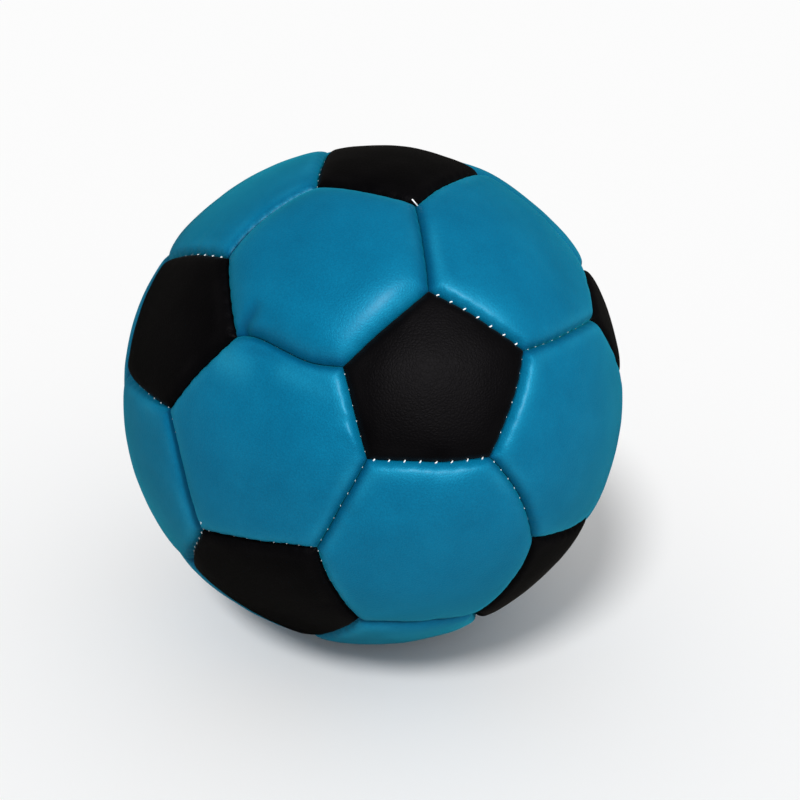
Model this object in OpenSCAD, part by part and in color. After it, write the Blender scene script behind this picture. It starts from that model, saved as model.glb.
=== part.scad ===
// Stuffed football toy for dogs: 12 pentagons and 20 hexagons of leathercloth, sewn edge to edge
// over fibre filling, with a bellows squeaker in the middle.
// Millimetres. Origin at the ball's centre, +Z up. The ball rests on its bottom pentagon.

/* [Ball] */
// Diameter over the crowns of two opposite hexagons
ball_d = 110; // [95:1:140]
// Direction in plan of the first upper pentagon
front_azimuth = -90; // [-180:1:180]
// Depth of the flat that the bottom pentagon rests on
rest_flat_depth = 0.5; // [0.3:0.1:0.8]

/* [Panels] */
// Thickness of the leathercloth
panel_t = 0.8; // [0.6:0.1:1.2]
// Radius of each panel's crown: the smaller, the plumper the panel
crown_r = 36; // [32:1:44]
// Depth of the turned-in seam allowance below the seam line
seam_allowance = 5; // [4:0.5:8]
// Gap between the two allowances of a seam
seam_gap = 0.1; // [0.06:0.02:0.3]

/* [Stitching] */
// Diameter of the sewing thread
thread_d = 0.6; // [0.4:0.1:0.8]
// Distance from stitch to stitch along a seam
stitch_pitch = 3; // [2.5:0.1:5]
// Least distance from a corner of the panel to the first stitch
stitch_corner_margin = 1.6; // [1.5:0.1:4]
// Depth of the thread's middle below the seam line
stitch_sink = 0.2; // [0:0.05:0.3]
// Room around the thread in the notches of the folded edges
notch_clearance = 0.1; // [0.05:0.05:0.15]

/* [Filling] */
// Room between the filling and what it touches
filling_clearance = 0.3; // [0.2:0.05:0.5]

/* [Squeaker] */
// Outer diameter of the bulb
bulb_d = 36; // [30:1:44]
// Wall of the bulb
bulb_wall = 1.2; // [0.8:0.1:1.6]
// Height of the base cup
base_h = 10; // [9:0.5:14]
// Height of the folded middle
bellows_h = 12; // [11:0.5:18]
// Number of folds in the middle
bellows_folds = 3; // [2:1:4]
// Depth of the folds
fold_depth = 3; // [2:0.5:4]
// Height of the domed crown
crown_h = 10; // [9:0.5:14]
// Radius of the crown's dome
dome_r = 26; // [24:1:36]
// Gap between the folded middle and the two ends
bulb_gap = 0.2; // [0.1:0.05:0.4]

/* [Reed] */
// Outer diameter of the reed sleeve
sleeve_d = 10; // [9:0.5:12]
// Wall of the reed sleeve
sleeve_wall = 1; // [0.8:0.1:1.2]
// Length of the sleeve above its flange
sleeve_l = 9; // [8:0.5:12]
// Diameter of the sleeve's flange
flange_d = 15; // [14:0.5:18]
// Thickness of the sleeve's flange
flange_t = 1.2; // [1:0.1:2]
// Height of the neck inside the base cup
neck_h = 6; // [4:0.5:8]
// Room around the sleeve, and around the reed seat in it
reed_fit = 0.1; // [0.05:0.05:0.2]
// Thickness of the reed seat's end disc
seat_disc_t = 1.5; // [1:0.1:2]
// Width of the air channel in the reed seat
channel_w = 3; // [2:0.5:3.5]
// Width of the reed
reed_w = 5; // [4:0.5:5.5]
// Thickness of the reed
reed_t = 0.25; // [0.2:0.05:0.4]
// Gap between the reed and its seat
reed_gap = 0.1; // [0.05:0.05:0.2]

/* [Hidden] */
$fn = 64;

ball_r = ball_d / 2;
overlap = 1;

// Directions of the panels: a pentagon at each end of the vertical axis, the others in rings of five
ring = [0 : 4];
ring_step = 360 / 5;
pentagon_ring = atan(2);
cap_hexagon_ring = atan(3 - sqrt(5));
belt_hexagon_ring = atan(3 + sqrt(5));

function toward(polar, azimuth) =
    [sin(polar) * cos(azimuth), sin(polar) * sin(azimuth), cos(polar)];
function on_azimuth(i) = front_azimuth + ring_step * i;
function between_azimuth(i) = on_azimuth(i) + ring_step / 2;

pentagons = concat(
    [["pentagon_top", toward(0, 0)]],
    [for (i = ring) [str("pentagon_upper_", i + 1), toward(pentagon_ring, on_azimuth(i))]],
    [for (i = ring) [str("pentagon_lower_", i + 1), toward(180 - pentagon_ring, between_azimuth(i))]],
    [["pentagon_bottom", toward(180, 0)]]
);
hexagons = concat(
    [for (i = ring) [str("hexagon_top_", i + 1), toward(cap_hexagon_ring, between_azimuth(i))]],
    [for (i = ring) [str("hexagon_upper_", i + 1), toward(belt_hexagon_ring, between_azimuth(i))]],
    [for (i = ring) [str("hexagon_lower_", i + 1), toward(180 - belt_hexagon_ring, on_azimuth(i))]],
    [for (i = ring) [str("hexagon_bottom_", i + 1), toward(180 - cap_hexagon_ring, on_azimuth(i))]]
);
panels = concat(pentagons, hexagons);
pentagon_count = len(pentagons);

function panel_name(p) = panels[p][0];
function panel_axis(p) = panels[p][1];
function is_pentagon(p) = p < pentagon_count;
function is_rested_on(p) = panel_name(p) == "pentagon_bottom";

// Angle from a panel's axis to the middle of its seams, and half the angle that a seam spans
hexagon_inset = acos(sqrt(5) / 3) / 2;
pentagon_inset = cap_hexagon_ring - hexagon_inset;
seam_half_angle = atan(sin(hexagon_inset) * tan(180 / 6));
neighbour_angle = 45;

function inset_angle(p) = is_pentagon(p) ? pentagon_inset : hexagon_inset;
function angle_between(a, b) = acos(max(-1, min(1, a * b)));
function are_sewn(p, q) =
    p != q && angle_between(panel_axis(p), panel_axis(q)) < neighbour_angle;
function neighbours(p) = [for (q = [0 : len(panels) - 1]) if (are_sewn(p, q)) q];

// Crowns: spheres of one radius, as filling presses all panels alike, that meet along the seams
function crown_height(offset, angle) =
    offset * cos(angle) + sqrt(crown_r ^ 2 - (offset * sin(angle)) ^ 2);
hexagon_crown_offset = ball_r - crown_r;
seam_r = crown_height(hexagon_crown_offset, hexagon_inset);
pentagon_crown_offset = seam_r * cos(pentagon_inset)
    - sqrt(crown_r ^ 2 - (seam_r * sin(pentagon_inset)) ^ 2);
function crown_offset(p) = is_pentagon(p) ? pentagon_crown_offset : hexagon_crown_offset;
allowance_r = seam_r - seam_allowance;
rest_z = -(pentagon_crown_offset + crown_r - rest_flat_depth);

// Stitches: each lies across the seam, in a notch of the two folded edges
stitch_angle = stitch_pitch / seam_r * 180 / PI;
corner_angle = stitch_corner_margin / seam_r * 180 / PI;
stitch_count = 1 + floor(2 * (seam_half_angle - corner_angle) / stitch_angle);
notch_reach = seam_gap / 2 + panel_t;
stitch_reach = notch_reach - notch_clearance;
notch_w = thread_d + 2 * notch_clearance;
function stitch_turn(i) = (i - (stitch_count - 1) / 2) * stitch_angle;
function stitch_r(turn) =
    crown_height(hexagon_crown_offset, acos(cos(hexagon_inset) * cos(turn))) - stitch_sink;

// Squeaker, centred on the origin
bulb_r = bulb_d / 2;
bulb_h = base_h + bellows_h + crown_h;
base_z = -bulb_h / 2;
bellows_z = base_z + base_h;
crown_z = bellows_z + bellows_h;
neck_bore_d = sleeve_d + 2 * reed_fit;
neck_d = neck_bore_d + 2 * bulb_wall;
seat_d = sleeve_d - 2 * sleeve_wall - 2 * reed_fit;
seat_z = base_z - flange_t;
seat_l = sleeve_l + flange_t;
seat_face_y = 0;
reed_l = seat_l - seat_disc_t - reed_gap;

leather_blue = [0.06, 0.42, 0.58];
leather_black = [0.05, 0.05, 0.06];
thread_white = [0.93, 0.93, 0.9];
filling_white = [0.9, 0.9, 0.88];
bulb_white = [0.85, 0.86, 0.84];
sleeve_white = [0.95, 0.95, 0.93];
reed_clear = [0.7, 0.76, 0.78];

function unit(v) = v / norm(v);

// Places children in the frame of the seam from panel p to panel q:
// X to the seam's middle, Z across the seam into panel p
module at_seam(p, q) {
    mid = unit(sin(inset_angle(q)) * panel_axis(p) + sin(inset_angle(p)) * panel_axis(q));
    into = unit(panel_axis(p) - (panel_axis(p) * mid) * mid);
    along = cross(into, mid);
    multmatrix([
        [mid.x, along.x, into.x, 0],
        [mid.y, along.y, into.y, 0],
        [mid.z, along.z, into.z, 0]
    ])
        children();
}

// The space under panel p's outer face, skin deep and inset from its seams.
// The panel that the ball rests on is flattened there
module under_panel(p, skin, inset) {
    reach = ball_r + overlap;
    intersection() {
        translate(panel_axis(p) * crown_offset(p))
            sphere(crown_r - skin);
        intersection_for (q = neighbours(p))
            at_seam(p, q)
                translate([-reach, -reach, inset])
                    cube([2 * reach, 2 * reach, reach]);
        if (is_rested_on(p))
            translate([0, 0, rest_z + skin])
                cylinder(r = ball_r, h = ball_r);
    }
}

// Children at each stitch of the seam from p to q, X outwards and Z across the seam
module along_seam(p, q) {
    at_seam(p, q)
        for (i = [0 : stitch_count - 1])
            rotate([0, 0, stitch_turn(i)])
                translate([stitch_r(stitch_turn(i)), 0, 0])
                    children();
}

// A panel with its edges turned in as the seam allowance
module panel(p) {
    color(is_pentagon(p) ? leather_black : leather_blue)
        difference() {
            under_panel(p, 0, seam_gap / 2);
            under_panel(p, panel_t, seam_gap / 2 + panel_t);
            sphere(allowance_r);
            for (q = neighbours(p))
                along_seam(p, q)
                    translate([-notch_w / 2, -notch_w / 2, -notch_reach])
                        cube([ball_r, notch_w, 2 * notch_reach]);
        }
}

module seam_stitches() {
    color(thread_white)
        for (p = [0 : len(panels) - 1])
            for (q = neighbours(p))
                if (p < q)
                    along_seam(p, q)
                        cylinder(d = thread_d, h = 2 * stitch_reach, center = true, $fn = 16);
}

// Fibre filling: a core under the seam allowances and a pad under each panel
module filling() {
    color(filling_white)
        difference() {
            union() {
                sphere(allowance_r - filling_clearance);
                for (p = [0 : len(panels) - 1])
                    under_panel(p, panel_t + filling_clearance, notch_reach + filling_clearance);
            }
            translate([0, 0, base_z - flange_t - filling_clearance])
                cylinder(r = bulb_r + filling_clearance, h = bulb_h + flange_t + 2 * filling_clearance);
        }
}

// Cup with the neck that holds the reed sleeve
module squeaker_base() {
    color(bulb_white)
        translate([0, 0, base_z])
            difference() {
                cylinder(r = bulb_r, h = base_h - bulb_gap);
                difference() {
                    translate([0, 0, bulb_wall])
                        cylinder(r = bulb_r - bulb_wall, h = base_h);
                    cylinder(d = neck_d, h = neck_h);
                }
                translate([0, 0, -overlap])
                    cylinder(d = neck_bore_d, h = base_h);
            }
}

module squeaker_bellows() {
    fold_steps = 2 * bellows_folds;
    outer = [for (i = [0 : fold_steps]) [bulb_r - (i % 2) * fold_depth, i * bellows_h / fold_steps]];
    inner = [for (i = [fold_steps : -1 : 0]) outer[i] - [bulb_wall, 0]];
    color(bulb_white)
        translate([0, 0, bellows_z])
            rotate_extrude()
                polygon(concat(outer, inner));
}

module domed_end(skin) {
    intersection() {
        cylinder(r = bulb_r - skin, h = crown_h);
        translate([0, 0, crown_h - dome_r])
            sphere(dome_r - skin);
    }
}

module squeaker_crown() {
    color(bulb_white)
        translate([0, 0, crown_z])
            difference() {
                domed_end(0);
                domed_end(bulb_wall);
                translate([0, 0, -overlap])
                    cylinder(r = bulb_r + overlap, h = overlap + bulb_gap);
            }
}

module reed_sleeve() {
    color(sleeve_white)
        translate([0, 0, seat_z])
            difference() {
                union() {
                    cylinder(d = flange_d, h = flange_t);
                    cylinder(d = sleeve_d, h = seat_l);
                }
                translate([0, 0, -overlap])
                    cylinder(d = sleeve_d - 2 * sleeve_wall, h = seat_l + 2 * overlap);
            }
}

// Half-round seat with an air channel, on an end disc
module reed_seat() {
    color(sleeve_white)
        translate([0, 0, seat_z])
            difference() {
                cylinder(d = seat_d, h = seat_l);
                translate([-seat_d, seat_face_y, seat_disc_t])
                    cube([2 * seat_d, seat_d, seat_l]);
                translate([-channel_w / 2, seat_face_y - channel_w / 2, -overlap])
                    cube([channel_w, channel_w, seat_l + 2 * overlap]);
            }
}

module reed() {
    color(reed_clear)
        translate([-reed_w / 2, seat_face_y + reed_gap, seat_z + seat_disc_t + reed_gap])
            cube([reed_w, reed_t, reed_l]);
}

for (p = [0 : len(panels) - 1])
    panel(p);
seam_stitches();
filling();
squeaker_base();
squeaker_bellows();
squeaker_crown();
reed_sleeve();
reed_seat();
reed();
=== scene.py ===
import math
import bpy
import bmesh
import numpy as np
from mathutils import Matrix, Vector, noise
from mathutils.bvhtree import BVHTree
from mathutils.geometry import delaunay_2d_cdt


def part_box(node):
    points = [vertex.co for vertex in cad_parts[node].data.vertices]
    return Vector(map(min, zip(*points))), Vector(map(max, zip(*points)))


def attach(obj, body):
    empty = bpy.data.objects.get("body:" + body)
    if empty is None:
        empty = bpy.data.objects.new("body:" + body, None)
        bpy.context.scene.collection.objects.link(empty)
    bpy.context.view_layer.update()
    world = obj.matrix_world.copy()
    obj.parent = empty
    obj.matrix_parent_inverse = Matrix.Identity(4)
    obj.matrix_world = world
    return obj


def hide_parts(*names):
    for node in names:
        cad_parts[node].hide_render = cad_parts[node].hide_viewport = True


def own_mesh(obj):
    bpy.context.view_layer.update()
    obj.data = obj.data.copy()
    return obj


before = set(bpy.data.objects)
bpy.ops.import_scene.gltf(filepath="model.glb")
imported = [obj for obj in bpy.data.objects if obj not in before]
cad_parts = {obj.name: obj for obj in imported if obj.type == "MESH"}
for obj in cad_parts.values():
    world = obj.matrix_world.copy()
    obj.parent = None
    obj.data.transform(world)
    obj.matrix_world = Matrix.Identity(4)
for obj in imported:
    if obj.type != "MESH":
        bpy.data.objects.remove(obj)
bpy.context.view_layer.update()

millimetre = 0.001
tiny = 1e-9  # keeps a division from failing
leastDistance = 1e-7  # points nearer than this count as one
ballBody = "ball"

# the ball as a whole
ballSet = {
    "radius": 55 * millimetre,  # over the hexagons' crowns
    "seamRadius": 53.05 * millimetre,  # at the bottom of the seam grooves
    "frontAzimuth": math.radians(-90),  # of the first upper pentagon
    "pressTravel": 8 * millimetre,  # how far the ball gives when the squeaker is pressed
}
ballRadius, seamRadius = ballSet["radius"], ballSet["seamRadius"]
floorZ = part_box("pentagon_bottom")[0].z


def unit(v):
    return v / np.linalg.norm(v, axis=-1, keepdims=True)


def linked(name, data):
    thing = bpy.data.objects.new(name, data)
    bpy.context.collection.objects.link(thing)
    return thing


def meshOf(name, points, edges, faces):
    mesh = bpy.data.meshes.new(name)
    mesh.from_pydata(points, edges, faces)
    return mesh


def builtMesh(name, build):
    mesh = bpy.data.meshes.new(name)
    build.to_mesh(mesh)
    build.free()
    return mesh


def shownMesh(thing):
    # an object's mesh with its modifiers applied
    return bpy.data.meshes.new_from_object(thing.evaluated_get(bpy.context.evaluated_depsgraph_get()))


def assign(thing, values):
    for key, value in values.items():
        setattr(thing, key, value)


# camera: the ball's rim is a circle in the photo, which gives the lens for a chosen distance
cameraSet = {
    "azimuth": math.radians(-15.0),
    "elevation": math.radians(25.0),
    "roll": math.radians(4.4),
    "distance": 260 * millimetre,
    "photoPixels": 800,
    "ballCentrePixel": (372.8, 394.6),
    "ballRadiusPixels": 250.3,
    "sensor": 36.0,
    "clipStart": 10 * millimetre,
}


def cameraAxes():
    az, el, roll = cameraSet["azimuth"], cameraSet["elevation"], cameraSet["roll"]
    back = np.array([math.sin(az) * math.cos(el), -math.cos(az) * math.cos(el), math.sin(el)])
    level = np.array([math.cos(az), math.sin(az), 0.0])
    upright = np.cross(back, level)
    right = level * math.cos(roll) + upright * math.sin(roll)
    return right, np.cross(back, right), back


cameraRight, cameraUp, cameraBack = cameraAxes()
cameraPlace = cameraBack * cameraSet["distance"]
centreX, centreY = cameraSet["ballCentrePixel"]
rimDistance = math.sqrt(cameraSet["distance"] ** 2 - ballRadius ** 2)
focalPixels = cameraSet["ballRadiusPixels"] / ballRadius * rimDistance


def makeCamera():
    data = bpy.data.cameras.new("photoCamera")
    pixels = cameraSet["photoPixels"]
    data.sensor_width = cameraSet["sensor"]
    data.lens = focalPixels / pixels * cameraSet["sensor"]
    data.shift_x = (pixels / 2 - centreX) / pixels
    data.shift_y = (centreY - pixels / 2) / pixels
    data.clip_start = cameraSet["clipStart"]
    camera = linked("photoCamera", data)
    turn = np.column_stack([cameraRight, cameraUp, cameraBack])
    camera.matrix_world = Matrix.Translation(cameraPlace) @ Matrix(turn.tolist()).to_4x4()
    bpy.context.scene.camera = camera


def toPixel(point):
    seen = point - cameraPlace
    scale = focalPixels / -(seen @ cameraBack)
    return np.array([centreX + scale * (seen @ cameraRight), centreY - scale * (seen @ cameraUp)])


def fromPixel(pixel, radius):
    # the point of a sphere round the ball's centre that shows at a pixel
    across, down = pixel[0] - centreX, pixel[1] - centreY
    ray = unit(cameraRight * across - cameraUp * down - cameraBack * focalPixels)
    along = -(ray @ cameraPlace)
    gap = cameraPlace @ cameraPlace - along ** 2
    return cameraPlace + ray * (along - math.sqrt(radius ** 2 - gap))


makeCamera()
print("camera ready, lens", round(bpy.context.scene.camera.data.lens, 1), "mm")

# panels: a pentagon at each end of the vertical axis, the others in rings of five
ringStep = math.radians(72)
nearCosine = 0.4  # of the angle within which a pentagon counts as near
poleCosine = 0.9  # of the angle within which an axis counts as vertical
pentagonRing = math.atan(2)
capHexagonRing = math.atan(3 - math.sqrt(5))
beltHexagonRing = math.atan(3 + math.sqrt(5))


def toward(polar, azimuth):
    level = math.sin(polar)
    return np.array([level * math.cos(azimuth), level * math.sin(azimuth), math.cos(polar)])


def ringAxes(word, polar, halfStep):
    turns = [ballSet["frontAzimuth"] + ringStep * (i + halfStep) for i in range(5)]
    return {f"{word}_{i}": toward(polar, turn) for i, turn in enumerate(turns, 1)}


pentagonAxes = {
    "pentagon_top": toward(0, 0),
    **ringAxes("pentagon_upper", pentagonRing, 0),
    **ringAxes("pentagon_lower", math.pi - pentagonRing, 0.5),
    "pentagon_bottom": toward(math.pi, 0),
}
hexagonAxes = {
    **ringAxes("hexagon_top", capHexagonRing, 0.5),
    **ringAxes("hexagon_upper", beltHexagonRing, 0.5),
    **ringAxes("hexagon_lower", math.pi - beltHexagonRing, 0),
    **ringAxes("hexagon_bottom", math.pi - capHexagonRing, 0),
}
panelAxes = {**pentagonAxes, **hexagonAxes}

# seam corners that the photo shows, in its pixels: of the first pentagon, on the way to the second;
# the last two of each row but the first lie on the ball's rim
cornerRows = {
    "upper_1": {"upper_5": (343, 367), "top": (428.5, 291.5), "upper_2": (523, 351),
                "lower_1": (489, 457), "lower_5": (367, 459)},
    "top": {"upper_1": (415.5, 207), "upper_5": (317, 190), "upper_2": (482, 173.5),
            "upper_4": (332, 148), "upper_3": (426, 145)},
    "upper_5": {"upper_1": (237, 337.5), "top": (229.5, 259), "lower_5": (172, 409),
                "upper_4": (162, 256), "lower_4": (122, 371)},
    "upper_2": {"upper_1": (590, 320), "top": (601, 290), "lower_1": (627, 374)},
    "lower_1": {"upper_1": (531, 537), "lower_5": (472, 610.5),
                "upper_2": (592, 515), "bottom": (483, 624)},
    "lower_5": {"upper_1": (317, 547), "upper_5": (204, 528.5), "lower_1": (360, 616),
                "lower_4": (187, 564), "bottom": (309, 640)},
}
cornerPixels = {("pentagon_" + own, "pentagon_" + other): pixel
                for own, row in cornerRows.items() for other, pixel in row.items()}
cornerSteps = 12  # tries at moving a corner to its pixel
cornerLimit = 7 * millimetre  # no corner moves further than this


def nudged(direction, pixel):
    # moves a corner sideways in the camera's plane until it shows at the pixel, staying on the seam sphere
    start = direction * seamRadius
    point = start
    for _ in range(cornerSteps):
        miss = np.array(pixel) - toPixel(point)
        depth = -((point - cameraPlace) @ cameraBack) / focalPixels
        point = point + (miss[0] * cameraRight - miss[1] * cameraUp) * depth
        shift = point - start
        point = start + shift * min(1, cornerLimit / max(np.linalg.norm(shift), tiny))
        point = unit(point) * seamRadius
    return unit(point)


def nearPentagons(axis, ownName):
    # a pentagon's neighbours across a hexagon-hexagon seam, or the three pentagons around a hexagon
    return [n for n, a in pentagonAxes.items() if n != ownName and a @ axis > nearCosine]


cornerDirections = {}
for ownName, ownAxis in pentagonAxes.items():
    for otherName in nearPentagons(ownAxis, ownName):
        direction = unit(2 * ownAxis + pentagonAxes[otherName])
        pixel = cornerPixels.get((ownName, otherName))
        cornerDirections[ownName, otherName] = direction if pixel is None else nudged(direction, pixel)


def planeAxes(axis):
    # two directions across an axis, from a helper that is never nearly parallel to it
    helper = np.array([0.0, 0.0, 1.0]) if abs(axis[2]) < poleCosine else np.array([1.0, 0.0, 0.0])
    first = unit(np.cross(helper, axis))
    return first, np.cross(axis, first)


def panelCorners(name):
    # the corners of a panel in order, anticlockwise from outside
    axis = panelAxes[name]
    near = nearPentagons(axis, name)
    if name in pentagonAxes:
        keys = [(name, other) for other in near]
    else:
        keys = [(a, b) for a in near for b in near if a != b]
    first, second = planeAxes(axis)
    return sorted(keys, key=lambda k: math.atan2(cornerDirections[k] @ second, cornerDirections[k] @ first))


# seams
seamSet = {
    "steps": 50,  # points along a seam
    "wobble": 0.3 * millimetre,  # how far a seam strays from its own line
    "wobbleLength": 8 * millimetre,
    "gap": 0.05 * millimetre,  # from a panel's edge to the middle of the seam
}
seamCurves = {}


def seamEnds(words):
    # a seam by its pentagons: the edge of the first that faces two others, or the seam between two of them
    names = tuple("pentagon_" + word for word in words.split())
    if len(names) == 3:
        return tuple(sorted([(names[0], names[1]), (names[0], names[2])]))
    return tuple(sorted([names, names[::-1]]))


# seams that the photo shows: how far each lies open, so that thread shows, and the pixels that it passes
# where it bends, at even shares of the way from its first corner to its second
seenRows = {
    "upper_1 top upper_2": (1.0, [(477, 318)]),
    "upper_1 lower_1 lower_5": (0.85, [(428, 461.5)]),
    "upper_1 upper_2 lower_1": (0.52, [(512, 402)]),
    "upper_1 upper_5 lower_5": (0.42, []),
    "upper_1 upper_5 top": (0.0, []),
    "upper_1 lower_5": (0.44, []),
    "upper_1 lower_1": (0.45, [(517.5, 493.5)]),
    "upper_1 upper_2": (0.35, [(557.5, 338)]),
    "upper_1 upper_5": (0.0, [(316.5, 363.8), (290, 354), (263.5, 340.6)]),
    "upper_1 top": (0.0, []),
    "upper_5 lower_5": (0.92, [(186, 466)]),
    "upper_5 top upper_1": (0.0, [(230.6, 298)]),
    "upper_5 lower_5 upper_1": (0.0, []),
    "upper_5 top upper_4": (0.72, []),
    "top upper_1 upper_5": (0.2, [(366.5, 194.5)]),
    "top upper_1 upper_2": (0.4, [(447, 186)]),
    "top upper_5": (0.45, [(268.7, 219)]),
    "lower_5 upper_5 upper_1": (0.76, [(261, 539.5)]),
    "lower_5 upper_1 lower_1": (0.56, [(333.5, 585)]),
    "lower_5 upper_5 lower_4": (0.75, []),
    "lower_5 lower_1 bottom": (0.7, []),
    "lower_1 lower_5": (0.4, [(415.5, 616)]),
    "lower_1 upper_1 lower_5": (0.0, [(508.3, 579)]),
    "lower_1 upper_1 upper_2": (0.0, []),
    "upper_2 upper_1 top": (0.8, []),
}
seenSeams = {seamEnds(words): row for words, row in seenRows.items()}


def seamBend(a, b, t):
    # how far a seam bends from the straight line between its corners: a smooth curve through its pixels
    pixels = seenSeams.get((a, b), (0, []))[1]
    shares = np.linspace(0, 1, len(pixels) + 2)
    offsets = np.zeros((len(shares), 3))
    for i, pixel in enumerate(pixels, 1):
        straight = unit(cornerDirections[a] * (1 - shares[i]) + cornerDirections[b] * shares[i])
        offsets[i] = nudged(straight, pixel) - straight
    fit = np.polyfit(shares, offsets, len(shares) - 1)
    return np.column_stack([np.polyval(fit[:, k], t[:, 0]) for k in range(3)])


def seamCurve(a, b):
    # directions along the seam from corner a to corner b, the same for both its panels
    if a > b:
        return seamCurve(b, a)[::-1]
    if (a, b) not in seamCurves:
        t = np.linspace(0, 1, seamSet["steps"] + 1)[:, None]
        line = unit(cornerDirections[a] * (1 - t) + cornerDirections[b] * t)
        line = unit(line + seamBend(a, b, t))
        side = unit(np.cross(cornerDirections[a], cornerDirections[b]))
        size = seamRadius / seamSet["wobbleLength"]
        stray = np.array([noise.noise(Vector(p * size)) for p in line])
        amount = stray * np.sin(np.pi * t[:, 0]) * seamSet["wobble"] / seamRadius
        seamCurves[a, b] = unit(line + side * amount[:, None])
    return seamCurves[a, b]


def panelSides(name):
    # the two corners of each seam round a panel
    corners = panelCorners(name)
    return list(zip(corners, corners[1:] + corners[:1]))


def panelEdges(name):
    return [seamCurve(a, b) for a, b in panelSides(name)]


def arcLength(curve):
    return np.linalg.norm(np.diff(curve, axis=0), axis=1).sum() * seamRadius


# leather panels
panelSet = {
    "thickness": 0.8 * millimetre,
    "allowance": 4.2 * millimetre,  # turned in below the seam line
    "allowanceRows": 3,
    "rollWidth": 1.7 * millimetre,  # of the edge that rolls down to the seam
    "rollSlope": math.radians(45),
    "hexagonCrown": 0.7 * millimetre,  # of the middle above the rolled edges
    "pentagonCrown": 0.5 * millimetre,
    "lipHeight": 0.6 * millimetre,  # the last turn of the leather down into the seam
    "lipWidth": 0.5 * millimetre,
    "edgeRows": [0.2, 0.45, 0.8, 1.2, 1.7, 2.3, 3.0],  # millimetres from the seam
    "rowClear": 1.05,  # a row keeps this many times its own distance from the other seams
    "grid": 0.7 * millimetre,  # mesh spacing inside the edge rows
    "gridClear": 0.55,  # from the last edge row to the grid, in spacings
    "gridReach": 0.5,  # half the grid's width, in radii of the ball
    "blendPower": 4,  # how softly the lips run together in the corners
    "lumpSize": 13 * millimetre,  # of the uneven filling under the leather
    "lumpHeight": 0.3 * millimetre,
    "calmWidth": 3 * millimetre,  # the lumps fade out over this way to the seams
    "rippleSize": 4.5 * millimetre,
    "rippleHeight": 0.06 * millimetre,
    "stitchDimple": 0.22 * millimetre,  # how far a stitch draws the edge in
    "dimpleAlong": 0.6 * millimetre,
    "dimpleAcross": 0.9 * millimetre,
}
# panels that roll more broadly to their seams than the others
broadRolls = {"hexagon_top_5": {"rollWidth": 7.5 * millimetre, "rollSlope": math.radians(28)}}
# folds in the leather that the photo shows, by the pixels of their ends; depth and width in millimetres,
# and shade, the share of painted shade along each fold
leatherFolds = {
    "hexagon_top_5": [
        {"ends": [(241, 328), (264, 302)], "depth": 0.9, "width": 1.3, "shade": 0.7},
        {"ends": [(250, 328), (274, 324)], "depth": -0.4, "width": 1.2, "shade": 0},
    ],
    "hexagon_upper_5": [
        {"ends": [(250, 348), (284, 359)], "depth": 0.3, "width": 1.2, "shade": 0.25},
        {"ends": [(232, 352), (250, 366)], "depth": -0.25, "width": 1.5, "shade": 0},
        {"ends": [(357, 443), (343, 423)], "depth": -0.4, "width": 1.2, "shade": 0},
        {"ends": [(348, 413), (338, 397)], "depth": -0.25, "width": 1.2, "shade": 0},
    ],
}
# painted shade in the creases, and a paler band beside the seams that is partly wear and partly painted
# highlight
shadeSheenAndWearSet = {
    "creaseShadeDepth": 0.8,
    "creaseShadeWidth": 0.85 * millimetre,
    "broadCreaseShadeWidth": 1.7 * millimetre,  # on the panels with broad rolls
    "wearAndSheenDepth": 0.5,
    "wearAndSheenPlace": 1.8 * millimetre,  # from the seam
    "wearAndSheenWidth": 1.1 * millimetre,
    "paleShare": 0.5,  # of the edges, in patches
    "patchSize": 7 * millimetre,
}
# painted sheen: places that the photo shows paler, fading from their first end to their second
paintedSheenMarks = {
    "hexagon_upper_5": [
        {"ends": [(224, 358), (256, 374)], "width": 3.0, "pale": 0.95},
        {"ends": [(284, 372), (350, 402)], "width": 1.8, "pale": 0.55},
    ],
}
# stitches across the seams, which the panels' puckers follow too
stitchSet = {
    "pitch": 2.9 * millimetre,
    "cornerMargin": 1.2 * millimetre,
    "threadRadius": 0.135 * millimetre,
    "length": 0.54 * millimetre,
    "openRise": 0.5 * millimetre,  # of the thread above the seam's bottom, where the seam lies open
    "closedRise": -0.8 * millimetre,
    "riseSpread": 0.08 * millimetre,
    "hiddenOpening": 0.85,  # the most that a seam lies open where the photo doesn't show it
    "endDrop": -1.6,  # of its ends, in radii of the thread
    "archSteps": 6,
    "tailRounding": 2,
    "slant": math.radians(-34),
    "slantSpread": math.radians(14),
    "lengthSpread": 0.18,
    "sides": 6,
    "seed": 7,
}


def stitchPlaces(length):
    # distances of a seam's stitches from its first corner
    count = 1 + int((length - 2 * stitchSet["cornerMargin"]) / stitchSet["pitch"])
    return length / 2 + (np.arange(count) - (count - 1) / 2) * stitchSet["pitch"]


def edgeDistances(directions, edge):
    # distance of each direction to a seam, and how far along the seam its nearest point lies
    a, b = edge[:-1], edge[1:]
    run = b - a
    share = np.einsum("msk,sk->ms", directions[:, None, :] - a[None], run) / (run * run).sum(1)
    share = np.clip(share, 0, 1)
    near = a[None] + share[..., None] * run[None]
    apart = np.linalg.norm(directions[:, None, :] - near, axis=2)
    best = apart.argmin(1)
    rows = np.arange(len(directions))
    step = np.linalg.norm(run, axis=1).mean()
    along = (best + share[rows, best]) * step
    return apart[rows, best] * seamRadius, along * seamRadius


def nearestSeam(directions, edges):
    return np.min([edgeDistances(directions, e)[0] for e in edges], axis=0)


def insidePanel(directions, edges):
    inside = np.ones(len(directions), bool)
    for edge in edges:
        inside &= directions @ np.cross(edge[0], edge[-1]) > 0
    return inside


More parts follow.
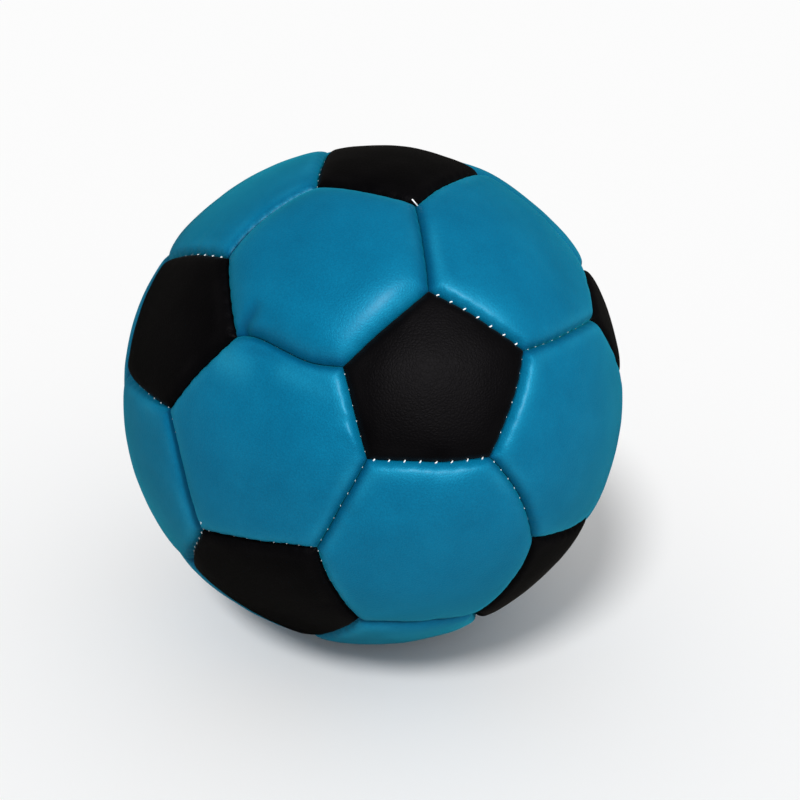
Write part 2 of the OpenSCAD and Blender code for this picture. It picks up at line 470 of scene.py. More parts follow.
def panelLayout(name, stride, rows, grid):
    # directions of a panel's mesh points: its outline, rows beside the seams, then an even grid
    axis, edges = panelAxes[name], panelEdges(name)
    first, second = planeAxes(axis)
    outline = np.concatenate([e[:-1:stride] for e in edges])
    inward = unit(axis - outline * (outline @ axis)[:, None])
    outline = unit(outline + inward * seamSet["gap"] / seamRadius)
    points = [outline]
    for row in rows:
        offset = row * millimetre
        for i, edge in enumerate(edges):
            side = unit(np.cross(edge, np.gradient(edge, axis=0)))
            line = unit(edge + side * offset / seamRadius)
            apart = nearestSeam(line, edges[:i] + edges[i + 1:])
            points.append(line[apart > offset * panelSet["rowClear"]])
    spacing = grid / seamRadius
    reach = int(panelSet["gridReach"] / spacing)
    flat = np.array([[(x + 0.5 * (y % 2)) * spacing, y * spacing * math.sqrt(0.75)]
                     for y in range(-reach, reach + 1) for x in range(-reach, reach + 1)])
    spread = unit(axis + flat[:, :1] * first + flat[:, 1:] * second)
    apart = nearestSeam(spread, edges)
    lastRow = rows[-1] * millimetre if rows else 0
    clear = apart > lastRow + panelSet["gridClear"] * grid
    points.append(spread[insidePanel(spread, edges) & clear])
    return np.concatenate(points), len(outline)


def panelTriangles(name, directions, outlineCount):
    axis = panelAxes[name]
    first, second = planeAxes(axis)
    flat = np.column_stack([directions @ first, directions @ second]) / (directions @ axis)[:, None]
    loop = [(i, (i + 1) % outlineCount) for i in range(outlineCount)]
    made = delaunay_2d_cdt([Vector(p) for p in flat], loop, [], 1, leastDistance)
    places, faces, origin = made[0], made[2], made[3]
    triangles = []
    for face in faces:
        a, b, c = (Vector(places[i]) for i in face)
        face = [origin[i][0] for i in face]
        triangles.append(face if (b - a).cross(c - a) > 0 else face[::-1])
    return triangles


def softDistance(directions, edges):
    # distance to the seams round a panel, with the edges run softly together in its corners
    power = panelSet["blendPower"]
    distances = np.array([np.clip(edgeDistances(directions, e)[0], leastDistance, None) for e in edges])
    return (distances ** -power).sum(0) ** (-1 / power)


def rolledRise(name, distance):
    roll = {**panelSet, **broadRolls.get(name, {})}
    width, slope = roll["rollWidth"], roll["rollSlope"]
    radius = width / math.sin(slope)
    short = np.clip(width - distance, 0, None)
    return np.sqrt(radius ** 2 - short ** 2) - radius * math.cos(slope)


# the cover as cloth: held along its seams and swollen by the filling
coverSet = {
    "scale": 10,  # the simulation runs at this many times the real size
    "grid": 2.2 * millimetre,
    "stride": 5,  # outline points, of those along the seam
    "frames": 20,
    "smoothing": 2,  # subdivisions of the swollen cloth
    "cloth": {
        "vertex_group_mass": "seams",  # the points that are held
        "shrink_min": -0.01,  # a little slack
        "use_pressure": True,
        "uniform_pressure_force": 3.0,
        "tension_stiffness": 15,
        "compression_stiffness": 15,
        "bending_stiffness": 2.0,
        "mass": 0.3,
        "air_damping": 5.0,
        "quality": 6,
    },
}


def coverCloth():
    # one mesh with every panel in it, and the part of it that each panel has
    points, faces, held, parts = [], [], [], {}
    for name in panelAxes:
        directions, outlineCount = panelLayout(name, coverSet["stride"], [], coverSet["grid"])
        triangles = panelTriangles(name, directions, outlineCount)
        start = len(points)
        points += (directions * seamRadius * coverSet["scale"]).tolist()
        faces += [[start + i for i in f] for f in triangles]
        held += range(start, start + outlineCount)
        parts[name] = (start, len(points), triangles)
    cover = linked("coverCloth", meshOf("coverCloth", points, [], faces))
    cover.vertex_groups.new(name="seams").add(held, 1, "REPLACE")
    return cover, parts


def swellCover():
    # the swollen points and the triangles of each panel
    cover, parts = coverCloth()
    cloth = cover.modifiers.new("cloth", "CLOTH")
    assign(cloth.settings, coverSet["cloth"])
    cloth.settings.effector_weights.gravity = 0
    cloth.collision_settings.use_collision = False
    cloth.point_cache.frame_start = 1
    cloth.point_cache.frame_end = coverSet["frames"]
    scene = bpy.context.scene
    for step in range(1, coverSet["frames"] + 1):
        scene.frame_set(step)
    shown = cover.evaluated_get(bpy.context.evaluated_depsgraph_get())
    swollen = np.array([v.co for v in shown.data.vertices]) / coverSet["scale"]
    scene.frame_set(1)
    bpy.data.objects.remove(cover)
    return {name: (swollen[start:stop], triangles) for name, (start, stop, triangles) in parts.items()}


def swollenSurface(name):
    # a smooth surface through a panel's swollen cloth, to be measured along rays
    points, triangles = swollenPanels[name]
    panel = linked("swollenPanel", meshOf("swollenPanel", points.tolist(), [], triangles))
    smooth = panel.modifiers.new("smooth", "SUBSURF")
    smooth.levels = smooth.render_levels = coverSet["smoothing"]
    smooth.boundary_smooth = "PRESERVE_CORNERS"
    tree = BVHTree.FromObject(panel, bpy.context.evaluated_depsgraph_get())
    bpy.data.objects.remove(panel)
    return tree


def swollenRise(name, directions):
    tree = swollenSurface(name)
    centre = Vector((0, 0, 0))
    heights = []
    for direction in directions:
        ray = Vector(direction)
        hit = tree.ray_cast(centre, ray)[0] or tree.find_nearest(ray * seamRadius)[0]
        heights.append(hit.length)
    return np.array(heights) - seamRadius


def noiseAt(directions, size):
    # smooth noise over the ball, with lumps of a given size
    return np.array([noise.noise(Vector(d * ballRadius / size)) for d in directions])


def foldShares(fold, directions):
    # how much of a fold each point has: all at its first end, none beyond its second
    line = np.array([unit(fromPixel(p, ballRadius)) for p in fold["ends"]])
    apart, along = edgeDistances(directions, line)
    across = apart / (fold["width"] * millimetre)
    return np.exp(-across ** 2) * (1 - (along / arcLength(line)) ** 2)


def panelHeights(name, directions):
    # height of a panel's outer face over the ball's centre
    edges = panelEdges(name)
    distances, places = map(np.array, zip(*[edgeDistances(directions, e) for e in edges]))
    soft = softDistance(directions, edges)
    crown = swollenRise(name, directions) if swollenPanels else soft
    crown = crown / crown.max() * panelSet["pentagonCrown" if name in pentagonAxes else "hexagonCrown"]
    height = seamRadius + rolledRise(name, soft) + crown
    height += panelSet["lipHeight"] * (1 - np.exp(-soft / panelSet["lipWidth"]))
    nearest = distances.argmin(0)
    for i, edge in enumerate(edges):
        gap = np.abs(places[i][:, None] - stitchPlaces(arcLength(edge))[None]).min(1)
        along, across = gap / panelSet["dimpleAlong"], distances[i] / panelSet["dimpleAcross"]
        pull = np.exp(-along ** 2 - across ** 2)
        height -= np.where(nearest == i, pull * panelSet["stitchDimple"], 0)
    for fold in leatherFolds.get(name, []):
        height -= fold["depth"] * millimetre * foldShares(fold, directions)
    calm = np.clip(soft / panelSet["calmWidth"], 0, 1)
    lumps = noiseAt(directions, panelSet["lumpSize"]) * panelSet["lumpHeight"]
    ripples = noiseAt(directions, panelSet["rippleSize"]) * panelSet["rippleHeight"]
    return height + calm * (lumps + ripples)


def creaseShadeShares(name, directions):
    # how much painted shade each point takes: along the seams between two hexagons, and in the folds
    width = shadeSheenAndWearSet["broadCreaseShadeWidth" if name in broadRolls else "creaseShadeWidth"]
    shares = np.zeros(len(directions))
    for a, b in panelSides(name):
        if a == b[::-1]:
            apart = edgeDistances(directions, seamCurve(a, b))[0]
            shares = np.maximum(shares, shadeSheenAndWearSet["creaseShadeDepth"] * np.exp(-(apart / width) ** 2))
    for fold in leatherFolds.get(name, []):
        shares = np.maximum(shares, fold["shade"] * foldShares(fold, directions))
    return shares


def wearAndSheenShares(name, directions):
    # how much paler each point is: patches along the rolled edges, partly wear and partly painted
    # highlight, and the painted sheen of the marks in the photo
    band = (softDistance(directions, panelEdges(name)) - shadeSheenAndWearSet["wearAndSheenPlace"]) / shadeSheenAndWearSet["wearAndSheenWidth"]
    patches = np.clip(shadeSheenAndWearSet["paleShare"] + noiseAt(directions, shadeSheenAndWearSet["patchSize"]), 0, 1)
    shares = shadeSheenAndWearSet["wearAndSheenDepth"] * np.exp(-band ** 2) * patches
    for mark in paintedSheenMarks.get(name, []):
        shares = np.maximum(shares, mark["pale"] * foldShares(mark, directions))
    return shares


def addShares(mesh, word, shares):
    # a value at each point of a mesh; the points after the given ones get none
    layer = mesh.attributes.new(word, "FLOAT", "POINT")
    layer.data.foreach_set("value", np.concatenate([shares, np.zeros(len(mesh.vertices) - len(shares))]))


def panelMesh(name):
    directions, outlineCount = panelLayout(name, 1, panelSet["edgeRows"], panelSet["grid"])
    faces = panelTriangles(name, directions, outlineCount)
    points = directions * panelHeights(name, directions)[:, None]
    points[:, 2] = np.maximum(points[:, 2], floorZ)
    rows = [points]
    outline = points[:outlineCount]
    above = np.arange(outlineCount)
    after = np.roll(above, -1)
    for depth in np.linspace(0, panelSet["allowance"], panelSet["allowanceRows"] + 1)[1:]:
        below = np.arange(outlineCount) + sum(len(r) for r in rows)
        rows.append(outline - unit(outline) * depth)
        faces += [[above[i], below[i], below[j], above[j]] for i, j in enumerate(after)]
        above = below
    faces = [[int(i) for i in f] for f in faces]
    mesh = meshOf("leather_" + name, np.concatenate(rows).tolist(), [], faces)
    # painted shade in the creases and folds, and paler edges and marks that are partly wear and partly
    # painted highlight and sheen
    addShares(mesh, "creaseShade", creaseShadeShares(name, directions))
    addShares(mesh, "wearAndSheen", wearAndSheenShares(name, directions))
    return mesh


def cutSize(name):
    # a panel's flat size before sewing, and its area, with the seam allowance round it
    axis = panelAxes[name]
    first, second = planeAxes(axis)
    outline = np.concatenate([e[:-1] for e in panelEdges(name)])
    away = np.column_stack([outline @ first, outline @ second])
    flat = unit(away) * np.arccos(outline @ axis)[:, None] * ballRadius
    ahead = np.roll(flat, -1, axis=0)
    width, length = flat.max(0) - flat.min(0) + 2 * panelSet["allowance"]
    inner = 0.5 * abs((flat[:, 0] * ahead[:, 1] - flat[:, 1] * ahead[:, 0]).sum())
    rim = np.linalg.norm(ahead - flat, axis=1).sum() * panelSet["allowance"]
    return width, length, inner + rim


def addObject(name, mesh, material):
    piece = linked(name, mesh)
    mesh.materials.clear()
    mesh.materials.append(material)
    mesh.polygons.foreach_set("use_smooth", [True] * len(mesh.polygons))
    return piece


def plainMesh(piece):
    # the piece with its modifiers made part of its mesh
    mesh = shownMesh(piece)
    piece.modifiers.clear()
    piece.data = mesh
    return piece


def makePanel(name, material):
    piece = addObject("leather_" + name, panelMesh(name), material)
    thick = piece.modifiers.new("thickness", "SOLIDIFY")
    thick.thickness = panelSet["thickness"]
    thick.offset = -1
    return plainMesh(piece)


# materials
leatherSet = {
    "mottle": {"Scale": 95, "Detail": 5, "Roughness": 0.6},  # patches in the dye
    "mottleStops": (0.3, 0.72),
    "poreShade": (0.78, 0.82, 0.84, 1),
    "poreStops": (0.38, 0.62),
    "poreScale": 2.4,  # times that of the grain
    "poreDepth": 0.5,  # beside the grain's
    "grainSize": 0.62 * millimetre,
    "grainDepth": 0.05 * millimetre,
    "grainStrength": 0.42,
    "grooveWidth": 0.28,  # of the lines in the grain, in pebbles
    "bendScale": 0.6,  # times that of the grain
    "bend": 0.3 * millimetre,  # keeps the grain from being regular
    "polishSpread": (-0.06, 0.08),  # how the roughness varies with the dye
}
# its two colours: a thin lacquer makes the core of the gloss, and a sheen the soft light at the rim
leatherLooks = {
    "blue": {
        "dye": (0.0005, 0.109, 0.213, 1),
        "deep": (0.0003, 0.088, 0.18, 1),
        # painted shade for the creases between hexagons and the folds
        "creaseShade": (0.0002, 0.033, 0.1, 1),
        # paler colour for the edges and marks: partly wear, partly painted highlight and painted sheen
        "wearAndSheen": (0.006, 0.165, 0.285, 1),
        "roughness": 0.49,
        "shader": {
            "Specular IOR Level": 0.95,
            "Specular Tint": (0.02, 0.66, 1, 1),
            "Coat Weight": 0.12,
            "Coat Roughness": 0.34,
            "Sheen Weight": 0.2,
            "Sheen Tint": (0.02, 0.8, 1, 1),
        },
    },
    "black": {
        "dye": (0.0014, 0.0012, 0.0015, 1),
        "deep": (0.0008, 0.0007, 0.0009, 1),
        # painted shade for the creases between hexagons and the folds
        "creaseShade": (0.0004, 0.0004, 0.0005, 1),
        # paler colour for the edges and marks: partly wear, partly painted highlight and painted sheen
        "wearAndSheen": (0.003, 0.0027, 0.003, 1),
        "roughness": 0.5,
        "shader": {
            "Specular IOR Level": 0.045,
            "Specular Tint": (1, 0.95, 1, 1),
            "Coat Weight": 0.0,
            "Coat Roughness": 0.34,
            "Sheen Weight": 0.014,
            "Sheen Tint": (1, 0.95, 0.85, 1),
        },
    },
}


def newMaterial(name):
    material = bpy.data.materials.new(name)
    material.use_nodes = True
    tree = material.node_tree
    return material, tree, tree.nodes["Principled BSDF"]


def feed(tree, node, inputs):
    # gives each input of a node a value, or the output that drives it
    for key, value in inputs.items():
        if isinstance(value, bpy.types.NodeSocket):
            tree.links.new(value, node.inputs[key])
        else:
            node.inputs[key].default_value = value


def addNode(tree, kind, settings=None, inputs=None):
    node = tree.nodes.new(kind)
    assign(node, settings or {})
    feed(tree, node, inputs or {})
    return node


def addNoise(tree, inputs):
    place = addNode(tree, "ShaderNodeTexCoord").outputs["Object"]
    return addNode(tree, "ShaderNodeTexNoise", inputs={"Vector": place, **inputs})


def addRamp(tree, amount, stops):
    ramp = addNode(tree, "ShaderNodeValToRGB", inputs={"Fac": amount})
    for element, (place, colour) in zip(ramp.color_ramp.elements, stops):
        element.position = place
        element.color = colour
    return ramp.outputs["Color"]


def addMix(tree, kind, share, first, second):
    inputs = {"Fac": share, "Color1": first, "Color2": second}
    return addNode(tree, "ShaderNodeMixRGB", {"blend_type": kind}, inputs).outputs["Color"]


def addBump(tree, height, strength, depth):
    inputs = {"Height": height, "Strength": strength, "Distance": depth}
    return addNode(tree, "ShaderNodeBump", inputs=inputs).outputs["Normal"]


def leathercloth(word):
    look = leatherLooks[word]
    material, tree, shader = newMaterial(word + "Leathercloth")
    mottle = addNoise(tree, leatherSet["mottle"]).outputs["Fac"]
    colour = addRamp(tree, mottle, zip(leatherSet["mottleStops"], (look["deep"], look["dye"])))
    # painted shade in the creases and folds, and paler edges that are partly wear and partly painted
    # highlight and sheen, from each point's attributes
    for share in ("wearAndSheen", "creaseShade"):
        amount = addNode(tree, "ShaderNodeAttribute", {"attribute_name": share}).outputs["Fac"]
        colour = addMix(tree, "MIX", amount, colour, look[share])
    # pebbles of the embossed grain, bent by a little noise so that they aren't regular
    grainScale = 1 / leatherSet["grainSize"]
    place = addNode(tree, "ShaderNodeTexCoord").outputs["Object"]
    bend = addNoise(tree, {"Scale": grainScale * leatherSet["bendScale"], "Detail": 2}).outputs["Color"]
    bent = addMix(tree, "LINEAR_LIGHT", leatherSet["bend"], place, bend)
    pebble = addNode(tree, "ShaderNodeTexVoronoi", {"feature": "DISTANCE_TO_EDGE"},
                     {"Vector": bent, "Scale": grainScale}).outputs["Distance"]
    groove = addNode(tree, "ShaderNodeMapRange", inputs={
        "Value": pebble, "From Min": 0.0, "From Max": leatherSet["grooveWidth"]}).outputs["Result"]
    fine = addNoise(tree, {"Scale": grainScale * leatherSet["poreScale"], "Detail": 4}).outputs["Fac"]
    pores = addRamp(tree, fine, zip(leatherSet["poreStops"], (leatherSet["poreShade"], (1, 1, 1, 1))))
    relief = addNode(tree, "ShaderNodeMath", {"operation": "MULTIPLY_ADD"},
                     {0: fine, 1: leatherSet["poreDepth"], 2: groove}).outputs["Value"]
    low, high = (look["roughness"] + change for change in leatherSet["polishSpread"])
    polish = addNode(tree, "ShaderNodeMapRange", inputs={"Value": mottle, "To Min": low, "To Max": high})
    feed(tree, shader, {
        "Base Color": addMix(tree, "MULTIPLY", 1, colour, pores),
        "Normal": addBump(tree, relief, leatherSet["grainStrength"], leatherSet["grainDepth"]),
        "Roughness": polish.outputs["Result"],
        **look["shader"],
    })
    return material


def mouldedPlastic(colour, roughness, clear, darkest=0.86):
    shade = [c * darkest for c in colour[:3]] + [1]
    return {
        "noise": {"Scale": 220, "Detail": 4},
        "shades": [(0.35, shade), (0.68, colour)],
        "bump": (0.2, 0.05 * millimetre),
        "shader": {"Roughness": roughness, "Transmission Weight": clear},
    }


# plain finishes: two shades of one noise, which also makes the bumps, given by strength and depth
finishSet = {
    "whiteThread": {
        "noise": {"Scale": 9000, "Detail": 2},
        "shades": [(0.35, (0.62, 0.64, 0.64, 1)), (0.65, (0.9, 0.92, 0.92, 1))],
        "bump": (0.5, 0.05 * millimetre),
        "shader": {"Roughness": 0.7},
    },
    "whiteFibre": {
        "noise": {"Scale": 700, "Detail": 8, "Distortion": 2.5},
        "shades": [(0.3, (0.6, 0.6, 0.57, 1)), (0.7, (0.86, 0.86, 0.83, 1))],
        "bump": (0.8, 0.4 * millimetre),
        "shader": {"Roughness": 0.95, "Sheen Weight": 0.4},
    },
    "bulbPlastic": mouldedPlastic((0.74, 0.76, 0.73, 1), 0.42, 0.15),
    "sleevePlastic": mouldedPlastic((0.86, 0.86, 0.83, 1), 0.28, 0.0),
    "reedFilm": mouldedPlastic((0.6, 0.68, 0.72, 1), 0.16, 0.5),
}


def plainFinish(name):
    look = finishSet[name]
    material, tree, shader = newMaterial(name)
    amount = addNoise(tree, look["noise"]).outputs["Fac"]
    feed(tree, shader, {
        "Base Color": addRamp(tree, amount, look["shades"]),
        "Normal": addBump(tree, amount, *look["bump"]),
        **look["shader"],
    })
    return material


blueLeather = leathercloth("blue")
blackLeather = leathercloth("black")
whiteThread, whiteFibre, bulbPlastic, sleevePlastic, reedFilm = map(plainFinish, finishSet)
print("materials ready")

# filling: a lumpy ball of fibre with a pocket for the squeaker
fillingSet = {
    "clearance": 0.3 * millimetre,  # under the leather, and round the squeaker
    "seamClear": 1.3 * millimetre,  # half the width of the groove for the turned-in edges
    "seamSlope": 1.6 * millimetre,
    "lump": 0.25 * millimetre,
    "lumpSize": 6 * millimetre,
    "fill": 0.8,  # how full the cover is
    "detail": 7,
    "pocketSides": 64,
}


def fillingHeights(directions):
    # up to the leather under each panel, and below the turned-in edges along the seams
    groove = seamRadius - panelSet["allowance"] - 2 * fillingSet["clearance"]
    heights = np.full(len(directions), groove)
    for name in panelAxes:
        edges = panelEdges(name)
        mine = np.nonzero(insidePanel(directions, edges))[0]
        under = directions[mine]
        apart = nearestSeam(under, edges)
        share = np.clip((apart - fillingSet["seamClear"]) / fillingSet["seamSlope"], 0, 1)
        lumps = noiseAt(under, fillingSet["lumpSize"])
        leather = panelHeights(name, under) - panelSet["thickness"] - fillingSet["clearance"]
        top = leather - fillingSet["lump"] * (1 + lumps)
        heights[mine] = groove + (top - groove) * share * share * (3 - 2 * share)
    return heights


def makeFilling():
    clear = fillingSet["clearance"]
    build = bmesh.new()
    bmesh.ops.create_icosphere(build, subdivisions=fillingSet["detail"], radius=1)
    directions = np.array([v.co for v in build.verts])
    for vertex, height in zip(build.verts, fillingHeights(directions)):
        vertex.co *= height
        vertex.co.z = max(vertex.co.z, floorZ + panelSet["thickness"] + clear)
    low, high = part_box("reed_sleeve")[0].z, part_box("squeaker_crown")[1].z
    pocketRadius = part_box("squeaker_base")[1].x + clear
    middle = Matrix.Translation((0, 0, (low + high) / 2))
    made = bmesh.ops.create_cone(build, cap_ends=True, segments=fillingSet["pocketSides"],
                                 radius1=pocketRadius, radius2=pocketRadius,
                                 depth=high - low + 2 * clear, matrix=middle)
    pocketFaces = list({f for v in made["verts"] for f in v.link_faces})
    bmesh.ops.reverse_faces(build, faces=pocketFaces)
    return addObject("fibre_filling", builtMesh("fibre_filling", build), whiteFibre)


# bellows of the squeaker, with round folds
bellowsSet = {
    "folds": 3,
    "depth": 2.6 * millimetre,
    "wall": 0.7 * millimetre,
    "rows": 48,
    "sides": 96,
    "keep": 1 / 3,  # of its height, when fully pressed
}


def makeBellows():
    low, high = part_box("squeaker_bellows")
    rows, sides = bellowsSet["rows"], bellowsSet["sides"]
    share = np.linspace(0, 1, rows + 1)
    outer = high.x - bellowsSet["depth"] * (1 - np.cos(2 * np.pi * bellowsSet["folds"] * share)) / 2
    height = low.z + (high.z - low.z) * share
    profile = np.concatenate([np.column_stack([outer, height]),
                              np.column_stack([outer - bellowsSet["wall"], height])[::-1]])
    turn = np.linspace(0, 2 * np.pi, sides, endpoint=False)
    points = [(r * math.cos(a), r * math.sin(a), z) for a in turn for r, z in profile]
    count = len(profile)
    faces = [[i * count + j, (i + 1) % sides * count + j,
              (i + 1) % sides * count + (j + 1) % count, i * count + (j + 1) % count]
             for i in range(sides) for j in range(count)]
    return addObject("squeaker_folds", meshOf("squeaker_folds", points, [], faces), bulbPlastic)


# stitches: short slanted bars of thread across each seam
def seamLines():
    # one open line along each seam, clear of its corners, with the outward direction at each point
    points, outward, edges = [], [], []
    chance = np.random.default_rng(stitchSet["seed"])
    for ends, curve in seamCurves.items():
        length = arcLength(curve)
        drawn = chance.uniform(0, stitchSet["hiddenOpening"])
        opening = seenSeams.get(ends, (drawn, []))[0]
        rise = stitchSet["closedRise"] + opening * (stitchSet["openRise"] - stitchSet["closedRise"])
        share = stitchPlaces(length) / length * (len(curve) - 1)
        line = np.column_stack([np.interp(share, np.arange(len(curve)), curve[:, k]) for k in range(3)])
        line = unit(line)
        start = len(points)
        rises = rise + stitchSet["riseSpread"] * chance.uniform(-1, 1, (len(line), 1))
        points += (line * (seamRadius + rises)).tolist()
        outward += line.tolist()
        edges += [(start + i, start + i + 1) for i in range(len(line) - 1)]
    mesh = meshOf("seam_thread", points, edges, [])
    layer = mesh.attributes.new("outward", "FLOAT_VECTOR", "POINT")
    layer.data.foreach_set("vector", np.array(outward, float).ravel())
    return mesh


def stitchTree():
    tree = bpy.data.node_groups.new("stitches", "GeometryNodeTree")
    sockets = tree.interface
    sockets.new_socket("Geometry", in_out="INPUT", socket_type="NodeSocketGeometry")
    for word in ("threadRadius", "length", "slant", "slantSpread", "lengthSpread"):
        sockets.new_socket(word, in_out="INPUT", socket_type="NodeSocketFloat")
    for word in ("sides", "seed"):
        sockets.new_socket(word, in_out="INPUT", socket_type="NodeSocketInt")
    sockets.new_socket("Geometry", in_out="OUTPUT", socket_type="NodeSocketGeometry")
    given = addNode(tree, "NodeGroupInput").outputs

    def maths(operation, first, second):
        return addNode(tree, "ShaderNodeMath", {"operation": operation}, {0: first, 1: second}).outputs[0]

    def vector(**parts):
        return addNode(tree, "ShaderNodeCombineXYZ", inputs=parts).outputs[0]

    def around(middle, spread):
        # a value drawn at random for each stitch
        low, high = maths("SUBTRACT", middle, spread), maths("ADD", middle, spread)
        limits = {2: low, 3: high, "Seed": given["seed"]}
        return addNode(tree, "FunctionNodeRandomValue", {"data_type": "FLOAT"}, limits).outputs[1]

    # one bar, along Y, with its ends turned down into the leather
    drop = maths("MULTIPLY", given["threadRadius"], stitchSet["endDrop"])
    start, end = (vector(Y=maths("MULTIPLY", given["length"], half), Z=drop) for half in (-0.5, 0.5))
    arch = addNode(tree, "GeometryNodeCurveQuadraticBezier", inputs={
        "Resolution": stitchSet["archSteps"],
        "Start": start, "Middle": vector(Z=given["threadRadius"]), "End": end})
    ring = addNode(tree, "GeometryNodeCurvePrimitiveCircle", inputs={
        "Radius": given["threadRadius"], "Resolution": given["sides"]})
    bar = addNode(tree, "GeometryNodeCurveToMesh", inputs={
        "Curve": arch.outputs["Curve"], "Profile Curve": ring.outputs["Curve"], "Fill Caps": True})
    # a bar at each point of the seam lines, X along the seam and Z outwards
    line = addNode(tree, "GeometryNodeMeshToCurve", inputs={"Mesh": given["Geometry"]})
    outward = addNode(tree, "GeometryNodeInputNamedAttribute", {"data_type": "FLOAT_VECTOR"},
                      {"Name": "outward"}).outputs["Attribute"]
    tangent = addNode(tree, "GeometryNodeInputTangent").outputs["Tangent"]
    across = addNode(tree, "ShaderNodeVectorMath", {"operation": "CROSS_PRODUCT"}, {0: outward, 1: tangent})
    upright = addNode(tree, "FunctionNodeAxesToRotation", {"primary_axis": "Z", "secondary_axis": "Y"},
                      {"Primary Axis": outward, "Secondary Axis": across.outputs["Vector"]})
    slant = addNode(tree, "FunctionNodeAxisAngleToRotation", inputs={
        "Axis": (0, 0, 1), "Angle": around(given["slant"], given["slantSpread"])})
    turned = addNode(tree, "FunctionNodeRotateRotation", {"rotation_space": "LOCAL"},
                     {"Rotation": upright.outputs["Rotation"], "Rotate By": slant.outputs["Rotation"]})
    sewn = addNode(tree, "GeometryNodeInstanceOnPoints", inputs={
        "Points": line.outputs["Curve"], "Instance": bar.outputs["Mesh"],
        "Rotation": turned.outputs["Rotation"],
        "Scale": vector(X=1, Y=around(1, given["lengthSpread"]), Z=1)})
    real = addNode(tree, "GeometryNodeRealizeInstances", inputs={"Geometry": sewn.outputs["Instances"]})
    dressed = addNode(tree, "GeometryNodeSetMaterial", inputs={
        "Geometry": real.outputs["Geometry"], "Material": whiteThread})
    addNode(tree, "NodeGroupOutput", inputs={"Geometry": dressed.outputs["Geometry"]})
    return tree


# loose ends of the thread, by the pixels that they pass and their distance from the ball's centre in mm
threadTails = [
    [((418, 206.5), 53.0), ((416, 204), 54.0), ((414, 201.5), 54.6), ((412.2, 199.5), 54.6)],
    [((204, 529), 53.0), ((202, 527), 54.0), ((201, 524.5), 54.5), ((201.3, 522), 54.7)],
]


def addThreadTails(piece):
    # runs a thread along each tail and joins it to the stitches
    build = bmesh.new()
    build.from_mesh(piece.data)
    for tail in threadTails:
        curve = bpy.data.curves.new("threadTail", "CURVE")
        curve.dimensions = "3D"
        curve.bevel_depth = stitchSet["threadRadius"]
        curve.bevel_resolution = stitchSet["tailRounding"]
        curve.use_fill_caps = True
        line = curve.splines.new("NURBS")
        line.points.add(len(tail) - 1)
        line.use_endpoint_u = True
        for point, (pixel, radius) in zip(line.points, tail):
            point.co = (*fromPixel(pixel, radius * millimetre), 1)
        thread = linked("threadTail", curve)
        build.from_mesh(shownMesh(thread))
        bpy.data.objects.remove(thread)
    build.to_mesh(piece.data)
    build.free()


def makeStitches():
    piece = linked("seam_thread", seamLines())
    sewing = piece.modifiers.new("stitches", "NODES")
    sewing.node_group = stitchTree()
    for socket in sewing.node_group.interface.items_tree:
        if socket.in_out == "INPUT" and socket.name in stitchSet:
            sewing[socket.identifier] = stitchSet[socket.name]
    plainMesh(piece)
    addThreadTails(piece)
    piece.data.polygons.foreach_set("use_smooth", [True] * len(piece.data.polygons))
    return piece


# making and placing
swollenPanels = swellCover()
print("cover swollen" if swollenPanels else "cover not simulated in a quick run")


def settle(piece, node):
    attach(piece, ballBody)
    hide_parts(node)


def squeeze(piece):
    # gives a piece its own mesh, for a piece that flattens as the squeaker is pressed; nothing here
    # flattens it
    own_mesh(piece)


fibreFilling = makeFilling()
settle(fibreFilling, "filling")
squeeze(fibreFilling)
print("filling ready")

for panelName in panelAxes:
    isPentagon = panelName in pentagonAxes
    leatherPanel = makePanel(panelName, blackLeather if isPentagon else blueLeather)
    width, length, cutArea = cutSize(panelName)
    settle(leatherPanel, panelName)
    squeeze(leatherPanel)
print("panels ready:", len(panelAxes))

seamThread = makeStitches()
settle(seamThread, "seam_stitches")
squeeze(seamThread)
print("stitches ready on", len(seamCurves), "seams")

squeakerFolds = makeBellows()
settle(squeakerFolds, "squeaker_bellows")
squeeze(squeakerFolds)

cadFinishes = {
    "squeaker_base": bulbPlastic,
    "squeaker_crown": bulbPlastic,
    "reed_sleeve": sleevePlastic,
    "reed_seat": sleevePlastic,
    "reed": reedFilm,
}
for nodeName, finish in cadFinishes.items():
    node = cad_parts[nodeName]
    node.data.materials.clear()
    node.data.materials.append(finish)
print("squeaker ready")

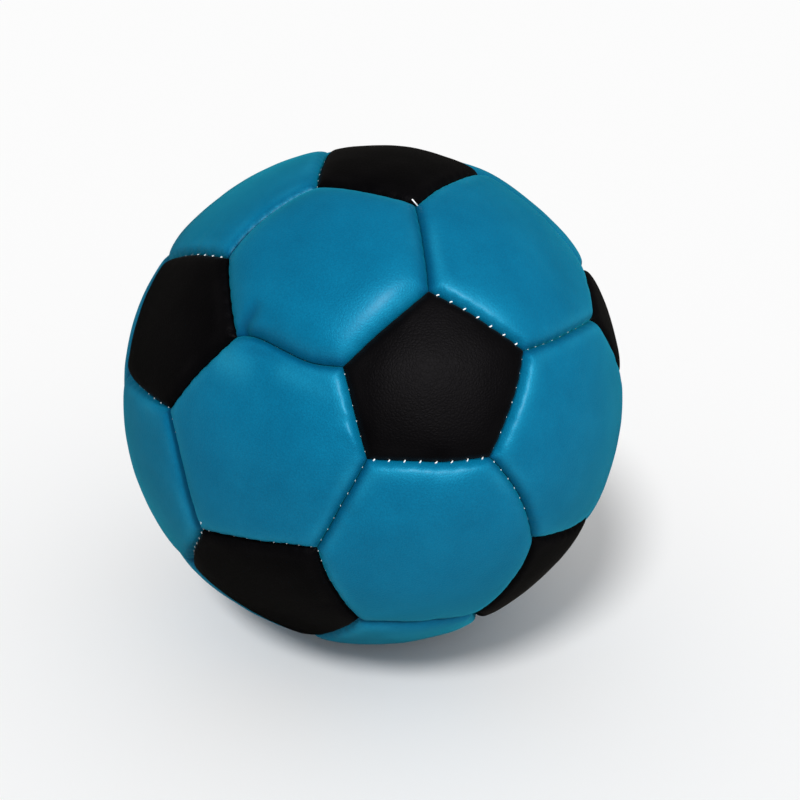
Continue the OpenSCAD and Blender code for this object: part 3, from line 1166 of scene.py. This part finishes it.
# studio: pale floor, a soft sky and sun, and a flash beside the camera that alone gives the gloss
studioSet = {
    "floorSize": 6.0,
    "floorColour": (0.97, 0.97, 0.97, 1),
    "floorRoughness": 0.9,
    "worldColour": (1, 1, 1, 1),
    "worldStrength": 0.55,
    "sunStrength": 1.85,
    "sunElevation": math.radians(50),
    "sunTurn": math.radians(-24),  # to the left of the camera
    "sunAngle": math.radians(14),
    "flashPlace": (0.22, 0.11, 0.5),  # to the right, up and towards the camera, from the ball's centre
    "flashPower": 2.45,
    "flashSize": 0.1,
}


def addLight(name, kind, power, place):
    data = bpy.data.lights.new(name, kind)
    data.energy = power
    light = linked(name, data)
    light.location = place
    light.rotation_mode = "QUATERNION"
    light.rotation_quaternion = Vector(-place).to_track_quat("-Z", "Y")
    return light


def addLights(floor):
    across, up, back = studioSet["flashPlace"]
    place = cameraRight * across + cameraUp * up + cameraBack * back
    flash = addLight("flash", "AREA", studioSet["flashPower"], place)
    flash.data.shape = "DISK"
    flash.data.size = studioSet["flashSize"]
    # the flash is kept off the floor, so that only the sun casts a shadow there
    unlit = bpy.data.collections.new("keptFromFlash")
    unlit.objects.link(floor)
    unlit.collection_objects[0].light_linking.link_state = "EXCLUDE"
    flash.light_linking.receiver_collection = unlit
    turn = cameraSet["azimuth"] + studioSet["sunTurn"] - math.pi / 2
    place = toward(math.pi / 2 - studioSet["sunElevation"], turn)
    sun = addLight("softSun", "SUN", studioSet["sunStrength"], place)
    sun.data.angle = studioSet["sunAngle"]
    sun.visible_glossy = False


def makeFloor():
    build = bmesh.new()
    bmesh.ops.create_grid(build, x_segments=1, y_segments=1, size=studioSet["floorSize"] / 2,
                          matrix=Matrix.Translation((0, 0, floorZ)))
    material, tree, shader = newMaterial("paleFloor")
    feed(tree, shader, {
        "Base Color": studioSet["floorColour"],
        "Roughness": studioSet["floorRoughness"],
        "Specular IOR Level": 0.0,
    })
    floor = addObject("paleFloor", builtMesh("paleFloor", build), material)
    floor.visible_glossy = False
    return floor


def makeWorld():
    world = bpy.data.worlds.new("softSky")
    bpy.context.scene.world = world
    world.use_nodes = True
    sky = {"Color": studioSet["worldColour"], "Strength": studioSet["worldStrength"]}
    feed(world.node_tree, world.node_tree.nodes["Background"], sky)
    world.cycles_visibility.glossy = False
    bpy.context.scene.view_settings.view_transform = "Standard"


makeWorld()
addLights(makeFloor())
print("studio ready")
